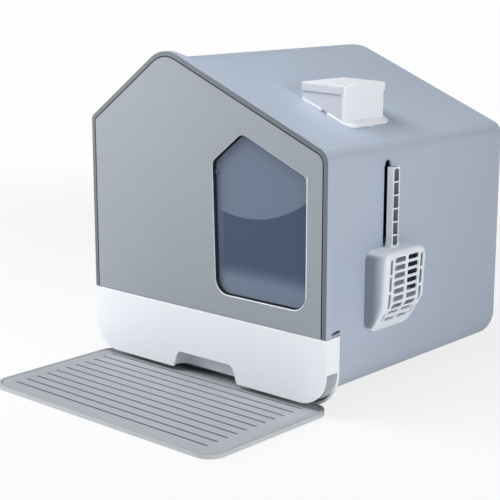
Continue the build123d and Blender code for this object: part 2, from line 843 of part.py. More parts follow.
insert_inset = mat_rim + mat_seam
with BuildPart() as mat_insert:
    with BuildSketch(Plane.XY.offset(recess_z)):
        with Locations((0, mat_y)):
            insert_width = 2 * (mat_half_width - insert_inset)
            RectangleRounded(insert_width, mat_length - 2 * insert_inset, mat_radius - insert_inset)
    extrude(amount=mat_insert_thickness)
    first_groove = mat_front + mat_rim + groove_first
    with BuildSketch(Plane.XY.offset(recess_z + mat_insert_thickness - groove_depth)):
        for row in range(groove_count):
            with Locations((0, first_groove + row * groove_pitch)):
                SlotOverall(2 * (mat_half_width - groove_inset), groove_width)
    extrude(amount=groove_depth, mode=Mode.SUBTRACT)
save(mat_insert.part, "mat_insert")

pad_span_x = 2 * (mat_half_width - mat_pad_inset)
pad_span_y = mat_length - 2 * mat_pad_inset
with BuildPart() as mat_pads:
    with BuildSketch(Plane.XY):
        with Locations((0, mat_y)):
            with GridLocations(pad_span_x / 2, pad_span_y, 3, 2):
                Circle(mat_pad_radius)
    extrude(amount=mat_pad_height)
save(mat_pads.part, "mat_pads")

# Deodoriser flange on the roof.
with BuildPart() as deodoriser_flange:
    with BuildSketch(roof_plane(deodoriser_x, deodoriser_y, 0)):
        RectangleRounded(flange_width, flange_length, flange_radius)
        with Locations((0, -flange_length / 2)):
            Rectangle(flange_notch_width, 2 * flange_notch_depth, mode=Mode.SUBTRACT)
        with Locations((flange_width / 2, 0)):
            Rectangle(2 * flange_tab_reach, flange_tab_length)
    extrude(amount=flange_height)
    with BuildSketch(roof_plane(box_x, box_y, 0)):
        grille_width = vent_slot_count * vent_slot_pitch
        Rectangle(grille_width, vent_slot_length)
    extrude(amount=flange_height, mode=Mode.SUBTRACT)
save(deodoriser_flange.part, "deodoriser_flange")

# Deodoriser box: upright walls on the sloping flange.
stack_low = right_roof(half_width)
stack_height = 2 * (lid_z - stack_low)
with BuildPart() as deodoriser_box:
    with BuildSketch(Plane.XY.offset(stack_low)):
        with Locations((box_x, box_y)):
            RectangleRounded(box_width, box_length, box_radius)
            inner_radius = box_radius - box_wall
            inner_length = box_length - 2 * box_wall
            RectangleRounded(box_width - 2 * box_wall, inner_length, inner_radius, mode=Mode.SUBTRACT)
    extrude(amount=stack_height)
    split(bisect_by=roof_plane(box_x, box_y, flange_height), keep=Keep.TOP)
    split(bisect_by=lid_plane(lid_plate), keep=Keep.BOTTOM)
save(deodoriser_box.part, "deodoriser_box")

with BuildPart() as lid_hollow:
    with BuildSketch(Plane.XY.offset(stack_low)):
        with Locations((box_x, box_y)):
            RectangleRounded(box_width + 2 * seat, box_length + 2 * seat, box_radius + seat)
    extrude(amount=stack_height)
    split(bisect_by=lid_plane(lid_plate), keep=Keep.BOTTOM)

lid_grow = 2 * (seat + lid_wall)
with BuildPart() as deodoriser_lid:
    with BuildSketch(Plane.XY.offset(stack_low)):
        with Locations((box_x, box_y)):
            RectangleRounded(box_width + lid_grow, box_length + lid_grow, box_radius + lid_grow / 2)
    extrude(amount=stack_height)
    split(bisect_by=lid_plane(0), keep=Keep.BOTTOM)
    split(bisect_by=lid_plane(lid_skirt), keep=Keep.TOP)
    fillet(deodoriser_lid.faces().sort_by(Axis.Z)[-1].edges(), lid_edge_radius)
    add(lid_hollow.part, mode=Mode.SUBTRACT)
    with BuildSketch(lid_plane(0)):
        with Locations((lid_hole_single_x, lid_hole_single_y), (lid_hole_pair_x, lid_hole_pair_y)):
            Circle(lid_hole_radius)
        with Locations((lid_hole_pair_x + lid_hole_pair_pitch, lid_hole_pair_y + lid_hole_pair_pitch)):
            Circle(lid_hole_radius)
    extrude(amount=-lid_plate, mode=Mode.SUBTRACT)
save(deodoriser_lid.part, "deodoriser_lid")

carbon_inset = 2 * (box_wall + carbon_margin)
with BuildPart() as carbon_block:
    with BuildSketch(Plane.XY.offset(stack_low)):
        with Locations((box_x, box_y)):
            Rectangle(box_width - carbon_inset, box_length - carbon_inset)
    extrude(amount=stack_height)
    split(bisect_by=roof_plane(box_x, box_y, flange_height + seat), keep=Keep.TOP)
    split(bisect_by=roof_plane(box_x, box_y, flange_height + seat + carbon_thickness), keep=Keep.BOTTOM)
save(carbon_block.part, "carbon_block")

# Holder pocket behind the scoop's slot.
holder_base = slot_base - holder_drop
holder_top = slot_cap_top + holder_margin
with BuildPart() as scoop_holder:
    holder_width = slot_width + 2 * holder_margin
    with BuildSketch(side_plane(bore_half)):
        with Locations((scoop_y, (holder_base + holder_top) / 2)):
            Rectangle(holder_width + 2 * holder_wall, holder_top - holder_base + 2 * holder_wall)
    extrude(amount=-holder_depth)
    with BuildSketch(side_plane(bore_half)):
        with Locations((scoop_y, (holder_base + holder_top) / 2)):
            Rectangle(holder_width, holder_top - holder_base)
    extrude(amount=holder_wall - holder_depth, mode=Mode.SUBTRACT)
save(scoop_holder.part, "scoop_holder")


def basket_solid(inset, back):
    """The scoop's bowl, moved inward by the inset and cut off at its back."""
    face_x = scoop_back + basket_depth - inset
    bend_x = face_x - basket_lean
    tip_x = scoop_back + basket_tip_depth - inset
    top = basket_top - inset
    tip = basket_tip + inset
    bend = basket_bend + inset / 2
    profile = [(back, top), (back, tip), (tip_x, tip), (bend_x, bend), (face_x, top)]
    with BuildPart(mode=Mode.PRIVATE) as bowl:
        with BuildSketch(facing(scoop_y)):
            add(rounded_face(profile, [0, 0, 0, basket_bend_radius - inset, 0]))
        extrude(amount=basket_width / 2 - inset, both=True)
        with BuildSketch(side_plane(back)):
            half = basket_width / 2 - inset
            low_radius = basket_tip_radius - inset
            top_radius = basket_top_radius - inset
            left = scoop_y - half
            right = scoop_y + half
            corners = [(left, tip), (right, tip), (right, top), (left, top)]
            add(rounded_face(corners, [low_radius, low_radius, top_radius, top_radius]))
        extrude(amount=2 * basket_depth, mode=Mode.INTERSECT)
        # Round the loop of edges between the front faces and the side walls.
        front_faces = bowl.faces().filter_by(lambda face: face.normal_at().X > 0.5)
        front_edges = [edge for face in front_faces for edge in face.edges()]
        fillet([edge for edge in front_edges if front_edges.count(edge) == 1], basket_edge_radius - inset)
    return bowl.part


bowl_outer = basket_solid(0, scoop_back)
bowl_inner = basket_solid(basket_wall, scoop_back - basket_wall)
face_x = scoop_back + basket_depth
handle_back = shell_half + handle_stand_off
handle_face = handle_back + handle_depth
bend_x = face_x - basket_lean
slot_reach = basket_depth / 2
slope_angle = atan2(bend_x - scoop_back - basket_tip_depth, basket_bend - basket_tip)
slope_plane = Plane(
    origin=(bend_x, scoop_y, basket_bend), x_dir=(0, 1, 0), z_dir=(cos(slope_angle), 0, -sin(slope_angle))
)

with BuildPart() as scoop:
    add(bowl_outer)
    add(bowl_inner, mode=Mode.SUBTRACT)
    # Rows of slots on the flat face.
    with BuildSketch(side_plane(face_x)):
        for row in range(face_rows):
            row_z = basket_top - face_first_row - row * face_slot_pitch_z
            for column in range(face_columns):
                column_y = scoop_y + (column - (face_columns - 1) / 2) * face_slot_pitch_y
                with Locations((column_y, row_z)):
                    RectangleRounded(face_slot_length, face_slot_height, face_slot_corner)
        for row in range(side_slot_rows):
            row_z = basket_top - side_slot_first - row * side_slot_pitch
            for side in (-1, 1):
                with Locations((scoop_y + side * (basket_width / 2 - side_slot_inset), row_z)):
                    SlotOverall(side_slot_length, side_slot_width, rotation=90)
    extrude(amount=-slot_reach, mode=Mode.SUBTRACT)
    # Slots on the sloping tip.
    with BuildSketch(slope_plane):
        for row in range(slope_rows):
            for column in range(face_columns):
                column_y = (column - (face_columns - 1) / 2) * face_slot_pitch_y
                with Locations((column_y, -slope_first_row - row * slope_slot_pitch)):
                    RectangleRounded(face_slot_length, slope_slot_height, face_slot_corner)
        for side in (-1, 1):
            column_y = side * (basket_width / 2 - slope_side_inset)
            with Locations((column_y, -slope_first_row - slope_slot_pitch / 2)):
                SlotOverall(slope_side_length, slope_side_width, rotation=90)
    extrude(amount=-2 * basket_wall, mode=Mode.SUBTRACT)
    # Handle: a channel with cross bars.
    handle_root = basket_top - basket_wall
    handle_run = handle_top - handle_root
    with BuildSketch(side_plane(handle_back)):
        with Locations((scoop_y, handle_root + handle_run / 2)):
            Rectangle(handle_width, handle_run)
        foot = handle_width / 2 + handle_foot_spread
        foot_top = basket_top + handle_foot_height
        foot_points = [(scoop_y - foot, handle_root), (scoop_y + foot, handle_root)]
        foot_points += [(scoop_y + handle_width / 2, foot_top), (scoop_y - handle_width / 2, foot_top)]
        add(rounded_face(foot_points, [0, 0, 0, 0]))
    extrude(amount=handle_depth)
    channel_width = handle_width - 2 * handle_wall
    channel_top = handle_top - handle_wall
    channel_base = basket_top + handle_bar
    with BuildSketch(side_plane(handle_face)):
        with Locations((scoop_y, (channel_top + channel_base) / 2)):
            RectangleRounded(channel_width, channel_top - channel_base, handle_corner)
        for bar in range(handle_bar_count):
            bar_z = handle_top - handle_first_bar - bar * handle_bar_pitch
            with Locations((scoop_y, bar_z)):
                Rectangle(handle_width, handle_bar, mode=Mode.SUBTRACT)
    extrude(amount=handle_web - handle_depth, mode=Mode.SUBTRACT)
    # Hook that drops behind the wall.
    hook_base = slot_base + seat
    hook_back = bore_half - seat - hook_thickness
    hook_y = scoop_y + hook_shift
    with BuildSketch(Plane.XY.offset(hook_base)):
        with Locations(((hook_back + handle_back + hook_root) / 2, hook_y)):
            Rectangle(handle_back - hook_back + hook_root, hook_width)
    extrude(amount=hook_height)
    with BuildSketch(Plane.XY.offset(hook_base - hook_drop)):
        with Locations((hook_back + hook_thickness / 2, hook_y)):
            Rectangle(hook_thickness, hook_width)
    extrude(amount=hook_drop)
save(scoop.part, "scoop")
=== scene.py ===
# %% [markdown]
# # A house-shaped litter box
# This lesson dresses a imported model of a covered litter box: a moulded house with a drawer, a
# see-through flap, a step mat, a small deodoriser on the roof and a scoop hung on the side. The solids
# come from the frame and are never moved. Most get a finished copy with rounded edges, the small parts
# that repeat are made by trees of nodes, and a few hidden ones only get a better material.

# %% Load the frame
import json
from math import cos, pi, radians, sin, tan

import bmesh
import bpy
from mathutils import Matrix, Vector


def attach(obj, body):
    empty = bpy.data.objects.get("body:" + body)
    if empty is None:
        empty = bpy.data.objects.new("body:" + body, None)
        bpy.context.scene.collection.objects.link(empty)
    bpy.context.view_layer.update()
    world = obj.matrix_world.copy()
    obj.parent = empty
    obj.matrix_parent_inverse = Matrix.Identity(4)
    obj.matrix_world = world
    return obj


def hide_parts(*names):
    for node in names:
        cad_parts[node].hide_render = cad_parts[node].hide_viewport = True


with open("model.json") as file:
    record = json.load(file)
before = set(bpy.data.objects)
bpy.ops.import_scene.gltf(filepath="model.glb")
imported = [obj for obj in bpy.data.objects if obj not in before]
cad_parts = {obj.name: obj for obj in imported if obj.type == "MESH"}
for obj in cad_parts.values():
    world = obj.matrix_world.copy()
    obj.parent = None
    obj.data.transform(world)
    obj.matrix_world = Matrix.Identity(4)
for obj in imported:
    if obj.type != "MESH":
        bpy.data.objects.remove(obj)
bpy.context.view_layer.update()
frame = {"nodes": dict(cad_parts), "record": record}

nodes = frame["nodes"]
bodies = frame["record"]["behaviour"]["bodies"]
body_of_node = {name: body for body, names in bodies.items() for name in names}

# %% [markdown]
# ## Camera
# The picture was taken from the front right and a little above. A long lens keeps the upright edges
# almost parallel, so the camera stands about two metres away. Its place and lens come from the straight
# edges of the house.

# %% Place the camera
camera_place = (1.33153, -1.60427, 0.63809)
camera_azimuth = 41.86
camera_elevation = 12.53
camera_lens = 93.01
sensor_width = 36.0
camera_data = bpy.data.cameras.new("view")
camera_data.sensor_width = sensor_width
camera_data.lens = camera_lens
camera = bpy.data.objects.new("view", camera_data)
camera.location = camera_place
camera.rotation_euler = (radians(90 - camera_elevation), 0, radians(camera_azimuth))
bpy.context.scene.collection.objects.link(camera)
bpy.context.scene.camera = camera
bpy.context.scene.view_settings.view_transform = "Standard"
print("camera at", camera_place, "lens", camera_lens)

# %% [markdown]
# ## Floor and light
# The box stands on a plain white sweep. What the camera sees of it is close to white, so the picture
# stays clean, yet the floor still takes a soft shadow. Most of that white is the sweep's own glow, seen
# by the camera but not shining on the box. Near the box the glow is weaker, because the panels add to
# it and nothing may burn out. Far away it is nearly all there is, so no horizon shows.
#
# The light is soft studio light. A panel far to the left lights the front, with a slow fall to the
# right. One on the right stands a little ahead of the front, so the right wall fades toward the back. A
# low one fills the corner of the drawer. Two overhead panels light the roof and the mat, and a weak one
# behind keeps the back from going dark. The surround is weak, so that the shaded sides keep their
# depth.


# %% Helpers for shader trees
def new_material(name):
    """A material with an empty node tree, the tree, and a function that adds nodes to it."""
    material = bpy.data.materials.new(name)
    material.use_nodes = True
    tree = material.node_tree
    tree.nodes.clear()

    def add(kind, **settings):
        node = tree.nodes.new(kind)
        for key, value in settings.items():
            setattr(node, key, value)
        return node

    return material, tree, add


def smooth_range(add, links, value, start, end, low=0.0, high=1.0):
    """A socket that runs smoothly from low to high while the value runs from start to end."""
    step = add("ShaderNodeMapRange", interpolation_type="SMOOTHSTEP")
    links.new(value, step.inputs["Value"])
    step.inputs["From Min"].default_value = start
    step.inputs["From Max"].default_value = end
    step.inputs["To Min"].default_value = low
    step.inputs["To Max"].default_value = high
    return step.outputs["Result"]


def combined(add, links, operation, first, second):
    """The result of one operation on two sockets."""
    node = add("ShaderNodeMath", operation=operation)
    links.new(first, node.inputs[0])
    links.new(second, node.inputs[1])
    return node.outputs[0]


print("surfaces before the first finish:", len(bpy.data.materials))

# %% The floor
floor_size = 240.0
floor_white = (0.86, 0.86, 0.87, 1.0)
near_glow = 0.84
far_glow = 0.985
near_strength = 0.95
far_strength = 1.0
near_radius = 0.8
far_radius = 2.4
floor_material, tree, add = new_material("white_sweep")
links = tree.links
ray = add("ShaderNodeLightPath").outputs
seen = combined(add, links, "MAXIMUM", ray["Is Camera Ray"], ray["Is Glossy Ray"])
seen = combined(add, links, "MAXIMUM", seen, ray["Is Transmission Ray"])
matt = add("ShaderNodeBsdfDiffuse")
matt.inputs["Color"].default_value = floor_white
radius = add("ShaderNodeVectorMath", operation="LENGTH")
links.new(add("ShaderNodeTexCoord").outputs["Object"], radius.inputs[0])
from_box = radius.outputs["Value"]
white_share = smooth_range(add, links, from_box, near_radius, far_radius, near_glow, far_glow)
strength = smooth_range(add, links, from_box, near_radius, far_radius, near_strength, far_strength)
glow = add("ShaderNodeEmission")
links.new(strength, glow.inputs["Strength"])
blend = add("ShaderNodeMixShader")
links.new(combined(add, links, "MULTIPLY", seen, white_share), blend.inputs[0])
links.new(matt.outputs[0], blend.inputs[1])
links.new(glow.outputs[0], blend.inputs[2])
links.new(blend.outputs[0], add("ShaderNodeOutputMaterial").inputs["Surface"])

bm = bmesh.new()
bmesh.ops.create_grid(bm, x_segments=1, y_segments=1, size=floor_size / 2)
floor_mesh = bpy.data.meshes.new("floor")
bm.to_mesh(floor_mesh)
bm.free()
floor = bpy.data.objects.new("floor", floor_mesh)
bpy.context.scene.collection.objects.link(floor)
floor_mesh.materials.append(floor_material)
print("floor", floor_size, "m square")

# %% The surround
surround_light = 0.05
surround_colour = (0.96, 0.98, 1.0, 1.0)
backdrop_white = (far_glow, far_glow, far_glow, 1.0)
world = bpy.data.worlds.new("studio")
bpy.context.scene.world = world
world.use_nodes = True
world_nodes = world.node_tree.nodes
world_links = world.node_tree.links
world_nodes.clear()
ray = world_nodes.new("ShaderNodeLightPath").outputs
fill = world_nodes.new("ShaderNodeBackground")
fill.inputs["Color"].default_value = surround_colour
fill.inputs["Strength"].default_value = surround_light
white = world_nodes.new("ShaderNodeBackground")
white.inputs["Color"].default_value = backdrop_white
pick = world_nodes.new("ShaderNodeMixShader")
out = world_nodes.new("ShaderNodeOutputWorld")
world_links.new(ray["Is Camera Ray"], pick.inputs[0])
world_links.new(fill.outputs[0], pick.inputs[1])
world_links.new(white.outputs[0], pick.inputs[2])
world_links.new(pick.outputs[0], out.inputs["Surface"])
print("surround strength", surround_light)


# %% The soft panels
def soft_panel(name, place, target, size, power):
    """A square soft box that stands at its place and faces its target; the power is in watts."""
    data = bpy.data.lights.new(name, "AREA")
    data.shape = "SQUARE"
    data.size = size
    data.energy = power
    lamp = bpy.data.objects.new(name, data)
    lamp.location = place
    lamp.rotation_euler = (Vector(target) - Vector(place)).to_track_quat("-Z", "Y").to_euler()
    bpy.context.scene.collection.objects.link(lamp)


soft_panel("right_panel", place=(1.6, -0.34, 0.75), target=(0.24, -0.15, 0.3), size=0.7, power=10.8)
soft_panel("low_right_panel", place=(1.3, -1.2, 0.4), target=(0.24, -0.2, 0.15), size=0.6, power=1.6)
soft_panel("left_panel", place=(-1.9, -1.0, 0.8), target=(-0.1, -0.2, 0.25), size=0.9, power=32.0)
soft_panel("top_left_panel", place=(-0.5, -0.8, 1.8), target=(0.0, -0.1, 0.4), size=1.0, power=24.0)
soft_panel("top_panel", place=(0.4, -0.2, 2.4), target=(0.0, 0.0, 0.3), size=1.6, power=13.0)
soft_panel("back_panel", place=(-0.2, 2.0, 0.55), target=(0.0, 0.23, 0.25), size=0.9, power=4.0)

# %% [markdown]
# ## Moulded plastic
# Nearly every piece is injection-moulded plastic. Up close it isn't one flat colour: the mould leaves a
# fine spark texture that scatters the highlight, and the colour drifts a little where the melt ran. One
# function makes the whole family from its colour, its gloss and the size of that texture. It reads
# Object coordinates, so the pattern stays on the piece from any side and in any pose. Where light or
# shade is painted on a piece, as a painted highlight along an edge or painted shade inside a groove, a
# zone of Object coordinates picks the other colour.


# %% The plastic family
drift_scale = 5.0
drift_detail = 3.0
grain_detail = 2.0
relief_strength = 0.6
rough_spread = 0.06
plastic_ior = 1.48


def linear(red, green, blue):
    """The linear values that shaders use, from a colour written as in a picture, 0 to 255."""
    def one(value):
        value /= 255
        return value / 12.92 if value <= 0.04045 else ((value + 0.055) / 1.055) ** 2.4
    return (one(red), one(green), one(blue), 1.0)


def band(axis, start, full, fade, end):
    """Two ranges that rise from start to full and fall from fade to end along one axis."""
    return [(axis, start, full), (axis, end, fade)]


def zone_share(add, links, parts, ranges):
    """One where every range is met, zero outside; a range is an axis, its start and where it is full."""
    total = None
    for axis, start, full in ranges:
        found = smooth_range(add, links, parts.outputs[axis], start, full)
        total = found if total is None else combined(add, links, "MULTIPLY", total, found)
    return total


def with_zones(add, links, place, colour, zones):
    """The colour socket, replaced by each zone's colour inside that zone; most zones paint light or shade.
    """
    if not zones:
        return colour
    parts = add("ShaderNodeSeparateXYZ")
    links.new(place.outputs["Object"], parts.inputs[0])
    for zone_colour, ranges in zones:
        choice = add("ShaderNodeMix", data_type="RGBA")
        links.new(zone_share(add, links, parts, ranges), choice.inputs["Factor"])
        links.new(colour, choice.inputs["A"])
        choice.inputs["B"].default_value = zone_colour
        colour = choice.outputs["Result"]
    return colour


def moulded(name, colour, rough, drift=0.04, grain=900.0, grain_height=0.00003, zones=()):
    """Moulded plastic: a slow drift of tone, a fine spark texture and a roughness that follows it."""
    material, tree, add = new_material(name)
    links = tree.links
    place = add("ShaderNodeTexCoord")
    slow = add("ShaderNodeTexNoise")
    slow.inputs["Scale"].default_value = drift_scale
    slow.inputs["Detail"].default_value = drift_detail
    links.new(place.outputs["Object"], slow.inputs["Vector"])
    fine = add("ShaderNodeTexNoise")
    fine.inputs["Scale"].default_value = grain
    fine.inputs["Detail"].default_value = grain_detail
    links.new(place.outputs["Object"], fine.inputs["Vector"])
    darker = [channel * (1 - drift) for channel in colour[:3]] + [1.0]
    lighter = [min(channel * (1 + drift), 1.0) for channel in colour[:3]] + [1.0]
    tone = add("ShaderNodeMix", data_type="RGBA")
    links.new(slow.outputs["Fac"], tone.inputs["Factor"])
    tone.inputs["A"].default_value = darker
    tone.inputs["B"].default_value = lighter
    gloss = add("ShaderNodeMapRange")
    links.new(fine.outputs["Fac"], gloss.inputs["Value"])
    gloss.inputs["To Min"].default_value = rough - rough_spread
    gloss.inputs["To Max"].default_value = rough + rough_spread
    relief = add("ShaderNodeBump")
    relief.inputs["Strength"].default_value = relief_strength
    relief.inputs["Distance"].default_value = grain_height
    links.new(fine.outputs["Fac"], relief.inputs["Height"])
    shader = add("ShaderNodeBsdfPrincipled")
    base_colour = with_zones(add, links, place, tone.outputs["Result"], zones)
    links.new(base_colour, shader.inputs["Base Color"])
    links.new(gloss.outputs["Result"], shader.inputs["Roughness"])
    links.new(relief.outputs["Normal"], shader.inputs["Normal"])
    shader.inputs["IOR"].default_value = plastic_ior
    links.new(shader.outputs[0], add("ShaderNodeOutputMaterial").inputs["Surface"])
    return material, shader


print("grain lies within", rough_spread, "of each finish's own roughness")

# %% The colours
dark_grey = linear(34, 40, 48)
shell_colour = linear(176, 187, 203)
shell_plastic, _ = moulded("shell_plastic", shell_colour, rough=0.50)
frame_start = -0.2279
frame_full = -0.2272
frame_zones = [(shell_colour, [("Y", frame_start, frame_full)])]
frame_plastic, _ = moulded("frame_plastic", linear(105, 113, 122), rough=0.45, zones=frame_zones)
# A darker grey; on the sill under the drawer it is painted shade.
base_plastic, _ = moulded("base_plastic", linear(119, 127, 137), rough=0.45)
white_colour = linear(242, 245, 250)
white_finish = {"rough": 0.38, "drift": 0.01, "grain": 600.0}
white_plastic, _ = moulded("white_plastic", white_colour, **white_finish)
light_plastic, _ = moulded("light_plastic", linear(206, 211, 218), rough=0.45, drift=0.02)
dark_plastic, _ = moulded("dark_plastic", dark_grey, rough=0.55)
# Nearly black, for the seam round the front panel: painted shadow of the joint and the seal in one.
seam_shade_and_seal, _ = moulded("seam_shade_and_seal", linear(14, 17, 21), rough=0.8, drift=0.05, grain=500.0)
mat_colour = linear(157, 161, 167)
print("finishes so far:", len(bpy.data.materials))

# %% [markdown]
# ## Finished copies with rounded edges
# A moulded part has no knife edges, and the thin light line along a rounded edge is what makes plastic
# look like plastic. A bevel in the solid model would be slow to build, so the copy gets it here: the
# triangles are merged back into flat faces, a Bevel modifier rounds every edge sharper than a set
# angle, and the result becomes a plain mesh. Rounding cuts the outer edges back and fills the inner
# ones while the flat faces stay in place, so a piece changes its size by less than a millimetre.

# %% Rounding helper
merge_distance = 2e-6
flat_angle = radians(0.4)
edge_angle = radians(34.0)
round_segments = 2
most_corners = 4


def plain_mesh(thing, name):
    """Give an object its evaluated shape as a plain mesh and take its modifiers away."""
    graph = bpy.context.evaluated_depsgraph_get()
    mesh = bpy.data.meshes.new_from_object(thing.evaluated_get(graph))
    mesh.name = name
    thing.data = mesh
    thing.modifiers.clear()


def hand_over(piece, node, material):
    """Give a finished piece its material and its place on the body of the CAD node that it stands for."""
    piece.data.materials.clear()
    piece.data.materials.append(material)
    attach(piece, body_of_node[node])
    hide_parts(node)
    print(piece.name, "faces", len(piece.data.polygons))


def softened(node, material, width, many_holes=False):
    """A copy of a CAD node with rounded edges; large faces with many holes are cut into triangles first."""
    bm = bmesh.new()
    bm.from_mesh(nodes[node].data)
    bmesh.ops.remove_doubles(bm, verts=bm.verts, dist=merge_distance)
    bmesh.ops.dissolve_limit(bm, angle_limit=flat_angle, verts=bm.verts, edges=bm.edges)
    if many_holes:
        large = [face for face in bm.faces if len(face.verts) > most_corners]
        bmesh.ops.triangulate(bm, faces=large, quad_method="BEAUTY", ngon_method="BEAUTY")
    mesh = bpy.data.meshes.new(node + "_merged")
    bm.to_mesh(mesh)
    bm.free()
    mesh.materials.clear()
    mesh.polygons.foreach_set("material_index", [0] * len(mesh.polygons))
    mesh.polygons.foreach_set("use_smooth", [True] * len(mesh.polygons))
    mesh.set_sharp_from_angle(angle=edge_angle)
    piece = bpy.data.objects.new(node + "_finished", mesh)
    bpy.context.scene.collection.objects.link(piece)
    bevel = piece.modifiers.new("rounding", "BEVEL")
    bevel.width = width
    bevel.segments = round_segments
    bevel.limit_method = "ANGLE"
    bevel.angle_limit = edge_angle
    bevel.miter_outer = "MITER_ARC"
    bevel.harden_normals = True
    plain_mesh(piece, node + "_finished")
    hand_over(piece, node, material)


print("every edge sharper than", round(edge_angle, 3), "radians gets rounded")

# %% [markdown]
# ## The house
# The shell is one moulding with a flared lip at its front. The darker frame and the flat panel sit
# inside that lip. The shell, the frame and the rim get wider radii than the thin panel. The panel's
# entrance turns inward in a short return wall. Three zones of the panel's material paint light and
# shade on it: a painted highlight on the chamfer and one on the right edge, and painted shade, much
# darker than the panel, on all that lies behind the chamfer. Behind its front face the frame takes the
# colour of the shell.

# %% House pieces
return_start = -0.2277
return_full = -0.2271
chamfer_start = -0.2289
chamfer_end = -0.2278
chamfer_step = 0.0002
right_edge_x = (0.2050, 0.2053, 0.2066, 0.2070)
right_edge_z = (0.168, 0.176, 0.344, 0.350)
# Painted highlights on the chamfer and the right edge, painted shade on the return wall behind the chamfer.
panel_light_and_shade_zones = [
    (linear(226, 232, 236),
     band("Y", chamfer_start, chamfer_start + chamfer_step, chamfer_end, chamfer_end + chamfer_step)),
    (linear(220, 226, 230), band("X", *right_edge_x) + band("Z", *right_edge_z)),
    (linear(35, 42, 50), [("Y", return_start, return_full)]),
]
panel_plastic, _ = moulded("panel_plastic", linear(153, 160, 167), rough=0.62, zones=panel_light_and_shade_zones)
softened("body_shell", shell_plastic, width=0.0008)
softened("rear_panel", shell_plastic, width=0.0008)
softened("front_frame", frame_plastic, width=0.0012)
softened("front_panel", panel_plastic, width=0.0005)
softened("base_rim", white_plastic, width=0.0010)
# The sill's darker grey stands in for the shade under the drawer: painted shade.
softened("base_sill", base_plastic, width=0.0005)
softened("base_plinth", base_plastic, width=0.0006)
softened("litter_guard", panel_plastic, width=0.0006, many_holes=True)

# %% [markdown]
# ## The seam round the front panel
# Between the panel and its frame runs a fine dark seam. On the real box it is the shadow in the joint
# and the soft seal behind it. Here it is a narrow near-black band, painted shadow and seal in one, that
# follows the gable outline, a hair in front of both faces. The outline is drawn once for each of the
# band's four edges, with the same steps round every corner, and neighbouring outlines are joined by
# faces.

# %% Seam band
half_width = 0.242
left_eave = 0.3976
right_eave = 0.3832
peak_x = -0.0786
peak_z = 0.516
left_pitch = (peak_z - left_eave) / (peak_x + half_width)
right_pitch = (peak_z - right_eave) / (half_width - peak_x)
eave_radii = (0.010, 0.024)
peak_radius = 0.055
tightest_radius = 0.001
seam_base = 0.1184
seam_outside = 0.0067
seam_inside = 0.0085
seam_front = -0.22912
seam_back = -0.2268
corner_steps = 8


def slope_line(pitch, inset):
    """How far straight down a slope comes when it moves inward by the inset."""
    return inset * (1 + pitch ** 2) ** 0.5


def rounded_path(points, radii):
    """The points with an arc in place of each inner corner."""
    path = [points[0]]
    for before, corner, after, corner_radius in zip(points, points[1:], points[2:], radii):
        arriving = (corner - before).normalized()
        leaving = (after - corner).normalized()
        turn = arriving.angle(leaving)
        reach = corner_radius * tan(turn / 2)
        inward = (leaving - arriving).normalized()
        centre = corner + inward * (corner_radius / cos(turn / 2))
        start = corner - arriving * reach - centre
        sideways = arriving * corner_radius
        for step in range(corner_steps + 1):
            angle = turn * step / corner_steps
            path.append(centre + start * cos(angle) + sideways * sin(angle))
    path.append(points[-1])
    return path


def gable_path(inset):
    """The front outline moved inward, from the left foot over the ridge to the right foot, as X and Z."""
    left = -half_width + inset
    right = half_width - inset
    left_z = left_eave + inset * left_pitch - slope_line(left_pitch, inset)
    right_z = right_eave + inset * right_pitch - slope_line(right_pitch, inset)
    ridge = (right_z - left_z + right * right_pitch + left * left_pitch) / (left_pitch + right_pitch)
    ridge_z = left_z + (ridge - left) * left_pitch
    corners = [(left, seam_base), (left, left_z), (ridge, ridge_z), (right, right_z), (right, seam_base)]
    radii = [max(outer - inset, tightest_radius) for outer in (eave_radii[0], peak_radius, eave_radii[1])]
    return rounded_path([Vector(corner) for corner in corners], radii)


band_edges = (
    (seam_outside, seam_front), (seam_inside, seam_front),
    (seam_inside, seam_back), (seam_outside, seam_back),
)
bm = bmesh.new()
rails = []
for inset, y in band_edges:
    rails.append([bm.verts.new((point.x, y, point.y)) for point in gable_path(inset)])
for rail, next_rail in zip(rails, rails[1:] + rails[:1]):
    for first, second, third, fourth in zip(rail, rail[1:], next_rail[1:], next_rail):
        bm.faces.new((first, second, third, fourth))
bm.faces.new([rail[0] for rail in rails])
bm.faces.new([rail[-1] for rail in rails])
bmesh.ops.recalc_face_normals(bm, faces=bm.faces)
seam_mesh = bpy.data.meshes.new("frame_seam")
bm.to_mesh(seam_mesh)
bm.free()
frame_seam = bpy.data.objects.new("frame_seam", seam_mesh)
bpy.context.scene.collection.objects.link(frame_seam)
seam_mesh.materials.append(seam_shade_and_seal)
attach(frame_seam, "house")
print("seam faces", len(seam_mesh.polygons))

# %% [markdown]
# ## The drawer
# The white front is the brightest piece of the object and has soft, full edges. The pocket behind the
# notch and the tray are the same plastic family.

# %% Drawer pieces
softened("drawer_front", white_plastic, width=0.0010)
softened("grip_pocket", white_plastic, width=0.0005)
softened("litter_tray", white_plastic, width=0.0006, many_holes=True)

# %% [markdown]
# ## The step mat
# The mat is a tray with a raised rim and a grooved insert. The insert is slightly rubbery and matt.
# Everything a little below the top of the insert takes a darker tone, painted shade in its grooves.
# So does the joint inside the left rim, painted shade in that gap. The outer wall of the tray takes a
# paler one, a painted highlight where it catches the light.

# %% Mat pieces
# Painted shade in the grooves and in the joint inside the left rim.
groove_shade_colour = linear(104, 108, 114)
groove_top = 0.0081
groove_deep = 0.0074
left_joint = -0.2245
left_wall = -0.2283
joint_end = -0.43
joint_step = 0.0003
edge_top = 0.0076
edge_low = 0.0068
insert_zones = [(groove_shade_colour, [("Z", groove_top, groove_deep)])]
joint_ranges = [("Z", groove_top, groove_deep), ("Y", joint_end, joint_end + joint_step)]
joint_ranges += band("X", left_wall - joint_step, left_wall, left_joint - joint_step, left_joint)
